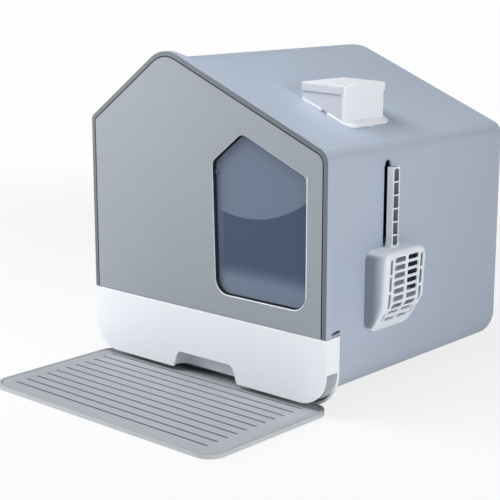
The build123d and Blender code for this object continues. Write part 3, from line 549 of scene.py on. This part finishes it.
# The paler tone on the tray's outer wall is a painted highlight.
mat_zones = [(linear(196, 200, 205), [("Z", edge_top, edge_low)]), (groove_shade_colour, joint_ranges)]
mat_finish = {"rough": 0.66, "grain": 700.0, "grain_height": 0.00006}
mat_plastic, _ = moulded("mat_plastic", mat_colour, zones=mat_zones, **mat_finish)
insert_plastic, _ = moulded("insert_plastic", mat_colour, zones=insert_zones, **mat_finish)
softened("mat_tray", mat_plastic, width=0.0006)
softened("mat_insert", insert_plastic, width=0.0003)

# %% [markdown]
# ## The deodoriser and the scoop
# The deodoriser is three smooth white mouldings: a plate that follows the roof, upright walls on it and
# a lift-off cap. Its front lies in shade, so a zone there is a little greyer. Small patches round the
# cap's holes are mid grey, painted shade for the dark holes. The scoop is pale plastic and hangs in a
# slot of the wall. Its handle is a channel with cross bars, and the floor of that channel lies in
# shade. So do the far half of the bowl's inside and the bowl's side that faces the front. Each of the
# three is a zone with a darker tone.

# %% Roof and side pieces
front_start = -0.1083
front_full = -0.1088
hole_places = ((0.1392, -0.0797), (0.1432, -0.0757), (0.1680, -0.0980))
hole_half_x = 0.0013
hole_half_y = 0.0022
hole_step = 0.0006
lid_low = 0.4540
shaded_white = linear(219, 221, 228)
box_zones = [(shaded_white, [("Y", front_start, front_full)])]
lid_zones = list(box_zones)
# Mid-grey patches round the cap's holes: painted shade for the dark holes.
for hole_x, hole_y in hole_places:
    left, right = hole_x - hole_half_x, hole_x + hole_half_x
    near, far = hole_y - hole_half_y, hole_y + hole_half_y
    hole_ranges = [("Z", lid_low - hole_step, lid_low)]
    hole_ranges += band("X", left - hole_step, left, right, right + hole_step)
    hole_ranges += band("Y", near - hole_step, near, far, far + hole_step)
    lid_zones.append((linear(120, 124, 130), hole_ranges))
box_plastic, _ = moulded("box_plastic", white_colour, zones=box_zones, **white_finish)
lid_plastic, _ = moulded("lid_plastic", white_colour, zones=lid_zones, **white_finish)
softened("deodoriser_flange", white_plastic, width=0.0008)
softened("deodoriser_box", box_plastic, width=0.0004)
softened("deodoriser_lid", lid_plastic, width=0.0004)
channel_y = -0.082
channel_half = 0.0063
channel_floor_x = 0.2534
channel_full_x = 0.2529
channel_base = 0.233
edge_step = 0.0003
channel_near, channel_far = channel_y - channel_half, channel_y + channel_half
channel_ranges = [("X", channel_floor_x, channel_full_x)]
channel_ranges += [("Z", channel_base - edge_step, channel_base + edge_step)]
channel_ranges += band("Y", channel_near - edge_step, channel_near + edge_step,
                       channel_far - edge_step, channel_far + edge_step)
inner_face_x = 0.2687
inner_wall_y = -0.0333
inner_start_y = -0.078
inner_full_y = -0.070
inner_base = 0.1575
inner_base_step = 0.003
inner_top = 0.2145
inside_ranges = [("X", inner_face_x + edge_step, inner_face_x - edge_step)]
inside_ranges += band("Y", inner_start_y, inner_full_y, inner_wall_y, inner_wall_y + edge_step)
inside_ranges += band("Z", inner_base, inner_base + inner_base_step, inner_top, inner_top + edge_step)
side_start_y = -0.1270
side_full_y = -0.1318
side_front_x = 0.2745
side_back_x = 0.250
side_ranges = [("Y", side_start_y, side_full_y), ("X", side_front_x, side_back_x)]
scoop_zones = [
    (linear(130, 136, 145), channel_ranges),
    (linear(64, 70, 78), inside_ranges),
    (linear(140, 148, 159), side_ranges),
]
scoop_colour = linear(230, 235, 242)
scoop_plastic, _ = moulded("scoop_plastic", scoop_colour, rough=0.45, drift=0.02, zones=scoop_zones)
softened("scoop", scoop_plastic, width=0.0005, many_holes=True)

# %% [markdown]
# ## The flap
# The flap is a tinted see-through sheet. Above a sagging arc it is paler, below the arc it is darker
# and denser, and along the foot and the left edge it is pale again: painted light and shade on the
# sheet. All zones are one sheet, so one material does them. A Mapping node puts the arc's centre at
# zero and flattens Y, and the distance from there picks the first zone. Plain ranges pick the rest.
# Alpha lets light into the house, which a solid glass would keep out.

# %% Flap material
arc_centre_x, arc_centre_z = 0.085, 0.469
arc_radius = 0.197
arc_step = 0.0012
pale_alpha = 0.76
dark_alpha = 0.82
foot_end, foot_full = 0.203, 0.172
left_end, left_full = 0.045, 0.027
flap_roughness = 0.12
flap_ior = 1.49
flap_material, tree, add = new_material("flap_plastic")
links = tree.links
place = add("ShaderNodeTexCoord")
centred = add("ShaderNodeMapping")
centred.inputs["Location"].default_value = (-arc_centre_x, 0.0, -arc_centre_z)
centred.inputs["Scale"].default_value = (1.0, 0.0, 1.0)
links.new(place.outputs["Object"], centred.inputs["Vector"])
distance = add("ShaderNodeVectorMath", operation="LENGTH")
links.new(centred.outputs["Vector"], distance.inputs[0])
from_centre = distance.outputs["Value"]
below_arc = smooth_range(add, links, from_centre, arc_radius - arc_step, arc_radius + arc_step)
# Paler above the arc and darker below it: painted light and shade on the sheet.
tint = add("ShaderNodeMix", data_type="RGBA")
links.new(below_arc, tint.inputs["Factor"])
tint.inputs["A"].default_value = linear(118, 131, 155)
tint.inputs["B"].default_value = linear(62, 80, 112)
# The pale foot and left edge are painted light.
foot_zone = (linear(118, 133, 157), [("Z", foot_end, foot_full)])
left_zone = (linear(112, 126, 150), [("X", left_end, left_full)])
tinted = with_zones(add, links, place, tint.outputs["Result"], [foot_zone, left_zone])
see = add("ShaderNodeMapRange")
links.new(below_arc, see.inputs["Value"])
see.inputs["To Min"].default_value = pale_alpha
see.inputs["To Max"].default_value = dark_alpha
flap_shader = add("ShaderNodeBsdfPrincipled")
links.new(tinted, flap_shader.inputs["Base Color"])
links.new(see.outputs["Result"], flap_shader.inputs["Alpha"])
flap_shader.inputs["Roughness"].default_value = flap_roughness
flap_shader.inputs["IOR"].default_value = flap_ior
links.new(flap_shader.outputs[0], add("ShaderNodeOutputMaterial").inputs["Surface"])
softened("entry_flap", flap_material, width=0.0004)

# %% [markdown]
# ## Screws, feet, pads and clips
# These small parts repeat, so one tree of geometry nodes makes each kind once and puts it on every
# point of a point cloud. The points come from the CAD node itself: each loose piece of its mesh gives
# one place. A screw is a tapered head with a cross recess on a plain shank, and a fixed seed turns
# every cross a little differently, as hand-driven screws look. Feet, pads and clips are discs with a
# bore or a shallow dish.

# %% Rubber, carbon and steel
rubber, _ = moulded("rubber", linear(46, 46, 48), rough=0.75, drift=0.08, grain=500.0, grain_height=0.00008)
carbon, _ = moulded("carbon", linear(40, 40, 42), rough=0.9, drift=0.2, grain=350.0, grain_height=0.0003)
steel, steel_shader = moulded("screw_steel", linear(180, 180, 184), rough=0.35, drift=0.03, grain=1500.0)
steel_shader.inputs["Metallic"].default_value = 1.0
print("finishes so far:", len(bpy.data.materials))

# %% Helpers for geometry trees
most_turn = pi / 2
float_max_input = 3
float_value_output = 1


def empty_tree(name, sizes):
    """A node group whose inputs are points, named sizes, a tilt, a seed and a material; it gives pieces."""
    tree = bpy.data.node_groups.new(name, "GeometryNodeTree")
    tree.interface.new_socket("Points", in_out="INPUT", socket_type="NodeSocketGeometry")
    for label in sizes:
        tree.interface.new_socket(label, in_out="INPUT", socket_type="NodeSocketFloat")
    tree.interface.new_socket("Tilt", in_out="INPUT", socket_type="NodeSocketFloat")
    tree.interface.new_socket("Seed", in_out="INPUT", socket_type="NodeSocketInt")
    tree.interface.new_socket("Material", in_out="INPUT", socket_type="NodeSocketMaterial")
    tree.interface.new_socket("Pieces", in_out="OUTPUT", socket_type="NodeSocketGeometry")
    return tree, tree.nodes.new("NodeGroupInput"), tree.nodes.new("NodeGroupOutput")


def linked(tree, kind, settings, inputs):
    """A node with its settings and inputs; an input is a plain value or a socket to link."""
    node = tree.nodes.new(kind)
    for key, value in settings.items():
        setattr(node, key, value)
    for key, value in inputs.items():
        if isinstance(value, bpy.types.NodeSocket):
            tree.links.new(value, node.inputs[key])
        else:
            node.inputs[key].default_value = value
    return node


def maths(tree, operation, first, second):
    """The result of one operation on two numbers or sockets."""
    return linked(tree, "ShaderNodeMath", {"operation": operation}, {0: first, 1: second}).outputs[0]


def moved(tree, geometry, z):
    """Geometry shifted along Z."""
    offset = linked(tree, "ShaderNodeCombineXYZ", {}, {"Z": z}).outputs[0]
    inputs = {"Geometry": geometry, "Translation": offset}
    return linked(tree, "GeometryNodeTransform", {}, inputs).outputs[0]


def repeat(tree, ends, unit):
    """Put the unit on every point, turn it, make it real and give it its material."""
    group_in, group_out = ends
    tilt = linked(tree, "ShaderNodeCombineXYZ", {}, {"X": group_in.outputs["Tilt"]}).outputs[0]
    inputs = {"Points": group_in.outputs["Points"], "Instance": unit, "Rotation": tilt}
    placed = linked(tree, "GeometryNodeInstanceOnPoints", {}, inputs).outputs[0]
    inputs = {float_max_input: most_turn, "Seed": group_in.outputs["Seed"]}
    own_turn = linked(tree, "FunctionNodeRandomValue", {"data_type": "FLOAT"}, inputs)
    spin = linked(tree, "ShaderNodeCombineXYZ", {}, {"Z": own_turn.outputs[float_value_output]}).outputs[0]
    inputs = {"Instances": placed, "Rotation": spin}
    turned = linked(tree, "GeometryNodeRotateInstances", {}, inputs).outputs[0]
    real = linked(tree, "GeometryNodeRealizeInstances", {}, {"Geometry": turned}).outputs[0]
    inputs = {"Geometry": real, "Material": group_in.outputs["Material"]}
    final = linked(tree, "GeometryNodeSetMaterial", {}, inputs).outputs[0]
    tree.links.new(final, group_out.inputs["Pieces"])
    return tree


print("each piece is turned by its seed, up to", round(most_turn, 3), "radians")

# %% Trees for the small parts
head_sides = 24
shank_sides = 16
disc_sides = 48
bore_sides = 32
head_taper = 0.72


def screw_tree():
    """Tapered head with a cross recess, on a shank; the head's underside is at zero."""
    sizes = ("Head Radius", "Head Height", "Shank Radius", "Shank Length", "Cross Length", "Cross Width")
    tree, group_in, group_out = empty_tree("pan_screw", sizes)
    size = group_in.outputs
    height, long, narrow = size["Head Height"], size["Cross Length"], size["Cross Width"]
    inputs = {"Vertices": head_sides, "Radius Bottom": size["Head Radius"], "Depth": height}
    inputs["Radius Top"] = maths(tree, "MULTIPLY", size["Head Radius"], head_taper)
    head = linked(tree, "GeometryNodeMeshCone", {}, inputs).outputs["Mesh"]
    half_head = maths(tree, "MULTIPLY", height, 0.5)
    depth = maths(tree, "ADD", size["Shank Length"], half_head)
    inputs = {"Vertices": shank_sides, "Radius": size["Shank Radius"], "Depth": depth}
    shank = linked(tree, "GeometryNodeMeshCylinder", {}, inputs).outputs["Mesh"]
    low = maths(tree, "MULTIPLY", depth, -0.5)
    shank = moved(tree, shank, maths(tree, "ADD", low, half_head))
    body = linked(tree, "GeometryNodeMeshBoolean", {"operation": "UNION"}, {})
    tree.links.new(head, body.inputs["Mesh 2"])
    tree.links.new(shank, body.inputs["Mesh 2"])
    inputs = {"Mesh 1": body.outputs["Mesh"]}
    cut = linked(tree, "GeometryNodeMeshBoolean", {"operation": "DIFFERENCE"}, inputs)
    for x, y in ((long, narrow), (narrow, long)):
        bar = linked(tree, "ShaderNodeCombineXYZ", {}, {"X": x, "Y": y, "Z": height}).outputs[0]
        block = linked(tree, "GeometryNodeMeshCube", {}, {"Size": bar}).outputs["Mesh"]
        tree.links.new(moved(tree, block, height), cut.inputs["Mesh 2"])
    return repeat(tree, (group_in, group_out), cut.outputs["Mesh"])


def disc_tree():
    """A disc from zero upward, with a bore that starts at its underside."""
    tree, group_in, group_out = empty_tree("bored_disc", ("Radius", "Height", "Bore Radius", "Bore Depth"))
    size = group_in.outputs
    inputs = {"Vertices": disc_sides, "Radius": size["Radius"], "Depth": size["Height"]}
    disc = linked(tree, "GeometryNodeMeshCylinder", {}, inputs).outputs["Mesh"]
    disc = moved(tree, disc, maths(tree, "MULTIPLY", size["Height"], 0.5))
    inputs = {"Vertices": bore_sides, "Radius": size["Bore Radius"]}
    inputs["Depth"] = maths(tree, "MULTIPLY", size["Bore Depth"], 2.0)
    bore = linked(tree, "GeometryNodeMeshCylinder", {}, inputs).outputs["Mesh"]
    inputs = {"Mesh 1": disc, "Mesh 2": bore}
    cut = linked(tree, "GeometryNodeMeshBoolean", {"operation": "DIFFERENCE"}, inputs)
    return repeat(tree, (group_in, group_out), cut.outputs["Mesh"])


pan_screw = screw_tree()
bored_disc = disc_tree()
print("nodes in the trees:", len(pan_screw.nodes), "and", len(bored_disc.nodes))

# %% Put the small parts on their places
turn_seed = 7


def loose_pieces(node):
    """The lowest and highest corner of each loose piece of a CAD node."""
    bm = bmesh.new()
    bm.from_mesh(nodes[node].data)
    bmesh.ops.remove_doubles(bm, verts=bm.verts, dist=merge_distance)
    left = set(bm.verts)
    boxes = []
    while left:
        group = [left.pop()]
        for vertex in group:
            near = {edge.other_vert(vertex) for edge in vertex.link_edges} & left
            left -= near
            group += near
        low = [min(vertex.co[axis] for vertex in group) for axis in range(3)]
        high = [max(vertex.co[axis] for vertex in group) for axis in range(3)]
        boxes.append((low, high))
    bm.free()
    return sorted(boxes)


def repeated(node, tree, axis, level, sizes, tilt, material):
    """One piece of the tree on each loose piece of the node, at the given level of one axis."""
    places = []
    for low, high in loose_pieces(node):
        point = [(a + b) / 2 for a, b in zip(low, high)]
        point[axis] = level
        places.append(point)
    mesh = bpy.data.meshes.new(node + "_points")
    mesh.from_pydata(places, [], [])
    piece = bpy.data.objects.new(node + "_finished", mesh)
    bpy.context.scene.collection.objects.link(piece)
    modifier = piece.modifiers.new("repeat", "NODES")
    modifier.node_group = tree
    values = dict(sizes, Tilt=tilt, Seed=turn_seed, Material=material)
    for item in tree.interface.items_tree:
        if item.in_out == "INPUT" and item.name in values:
            modifier[item.identifier] = values[item.name]
    plain_mesh(piece, node + "_finished")
    hand_over(piece, node, material)


screw_sizes = {
    "Head Radius": 0.004, "Head Height": 0.0022, "Shank Radius": 0.0018,
    "Cross Length": 0.0044, "Cross Width": 0.0011,
}
rear_screw_sizes = {"Shank Length": 0.014, **screw_sizes}
tray_screw_sizes = {"Shank Length": 0.010, **screw_sizes}
rear_face = 0.229
tray_face = -0.202
clip_face = -0.2225
floor_level = 0.0
y_axis, z_axis = 1, 2
upright, away, toward = 0.0, -pi / 2, pi / 2
repeated("rear_screws", pan_screw, y_axis, rear_face, rear_screw_sizes, away, steel)
repeated("tray_screws", pan_screw, y_axis, tray_face, tray_screw_sizes, toward, steel)
foot_sizes = {"Radius": 0.016, "Height": 0.004, "Bore Radius": 0.010, "Bore Depth": 0.001}
pad_sizes = {"Radius": 0.012, "Height": 0.0008, "Bore Radius": 0.007, "Bore Depth": 0.0004}
clip_sizes = {"Radius": 0.0048, "Height": 0.0015, "Bore Radius": 0.00225, "Bore Depth": 0.003}
repeated("rubber_feet", bored_disc, z_axis, floor_level, foot_sizes, upright, rubber)
repeated("mat_pads", bored_disc, z_axis, floor_level, pad_sizes, upright, rubber)
repeated("panel_clips", bored_disc, y_axis, clip_face, clip_sizes, away, dark_plastic)

# %% [markdown]
# ## Parts inside the house
# The runners, the scoop's holder and the carbon block sit inside, where only an open flap, the scoop's
# slot or the lifted cap shows them. Rounding would add nothing there, so they keep their CAD shape and
# only get a material.

# %% Runners, holder and carbon
kept = {
    "carbon_block": carbon, "scoop_holder": dark_plastic,
    "tray_runner_left": light_plastic, "tray_runner_right": light_plastic,
}
for name, material in kept.items():
    nodes[name].data.materials.clear()
    nodes[name].data.materials.append(material)
print("kept CAD nodes:", len(kept))
